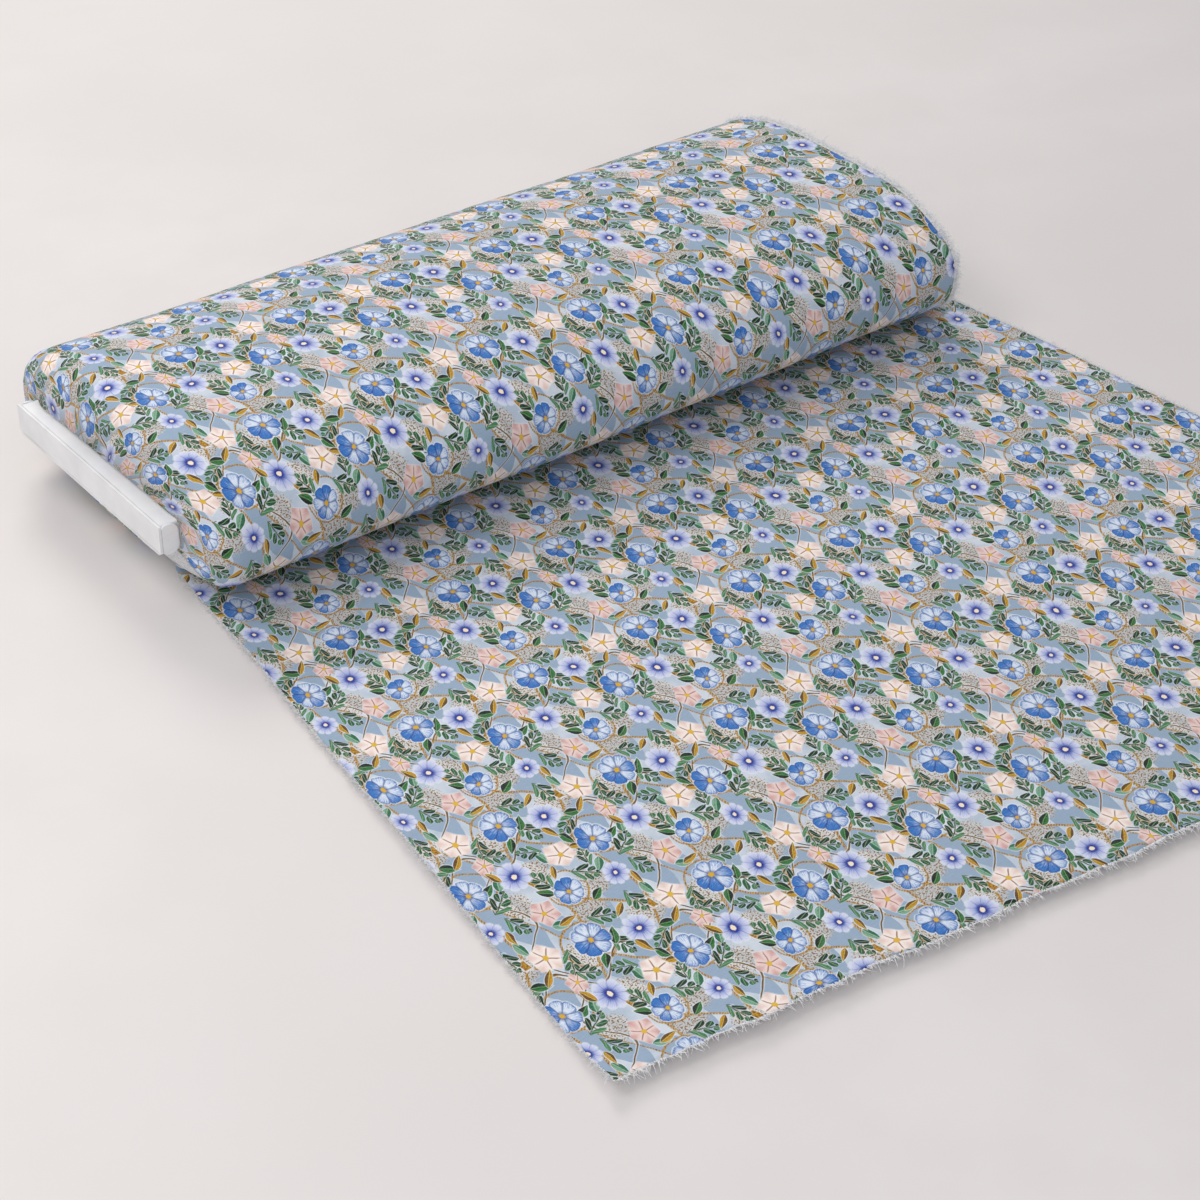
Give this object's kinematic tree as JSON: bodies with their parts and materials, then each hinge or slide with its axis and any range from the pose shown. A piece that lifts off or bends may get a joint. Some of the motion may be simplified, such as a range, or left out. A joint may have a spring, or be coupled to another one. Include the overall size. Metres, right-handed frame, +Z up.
{
  "type": "fabric bolt",
  "caption": "Printed cotton wound on a flat hollow cardboard board that stands out at one end, with a free length laid out in front; the board slides out and its end flaps open.",
  "frame": {"origin": "on the surface that the bolt lies on, under the middle of the wound cloth's flat underside", "axes": "+X along the board from the end that stands out of the cloth to the far end, +Z up, and the free length of cloth lies towards -Y"},
  "size_m": [0.6715, 0.7209, 0.0899],
  "materials": {
    "printed_cotton": "plain-weave cotton with an all-over floral print, matt",
    "white_card": "white-faced board, matt",
    "kraft_card": "brown kraft board, matt"
  },
  "bodies": {
    "cloth": {"wound_cloth": "printed_cotton", "free_cloth": "printed_cotton"},
    "board": {"board_sleeve": "white_card", "inner_rib_1": "kraft_card", "inner_rib_2": "kraft_card", "inner_rib_3": "kraft_card", "far_end_panel": "white_card", "far_tuck_tongue": "white_card", "far_front_tab": "white_card", "far_rear_tab": "white_card"},
    "near_panel": {"near_end_panel": "white_card"},
    "near_tongue": {"near_tuck_tongue": "white_card"},
    "near_front_flap": {"near_front_tab": "white_card"},
    "near_rear_flap": {"near_rear_tab": "white_card"}
  },
  "joints": [
    {"name": "board_slide", "type": "slide", "parent": "cloth", "child": "board", "axis": [-1, 0, 0], "range_m": [0, 0.5]},
    {"name": "near_panel_hinge", "type": "hinge", "parent": "board", "child": "near_panel", "pos_m": [-0.2891, 0, 0.0544], "axis": [0, 1, 0], "range_deg": [0, 80]},
    {"name": "near_tongue_hinge", "type": "hinge", "parent": "near_panel", "child": "near_tongue", "pos_m": [-0.2891, 0, 0.0385], "axis": [0, 1, 0], "range_deg": [-80, 0]},
    {"name": "near_front_tab_hinge", "type": "hinge", "parent": "near_panel", "child": "near_front_flap", "pos_m": [-0.2891, -0.08505, 0.0448], "axis": [0, 0, -1], "range_deg": [0, 90]},
    {"name": "near_rear_tab_hinge", "type": "hinge", "parent": "near_panel", "child": "near_rear_flap", "pos_m": [-0.2891, 0.08505, 0.0448], "axis": [0, 0, 1], "range_deg": [0, 90]}
  ],
  "couplings": [
    {"joint": "near_tongue_hinge", "follows": "near_panel_hinge", "ratio": -1}
  ]
}
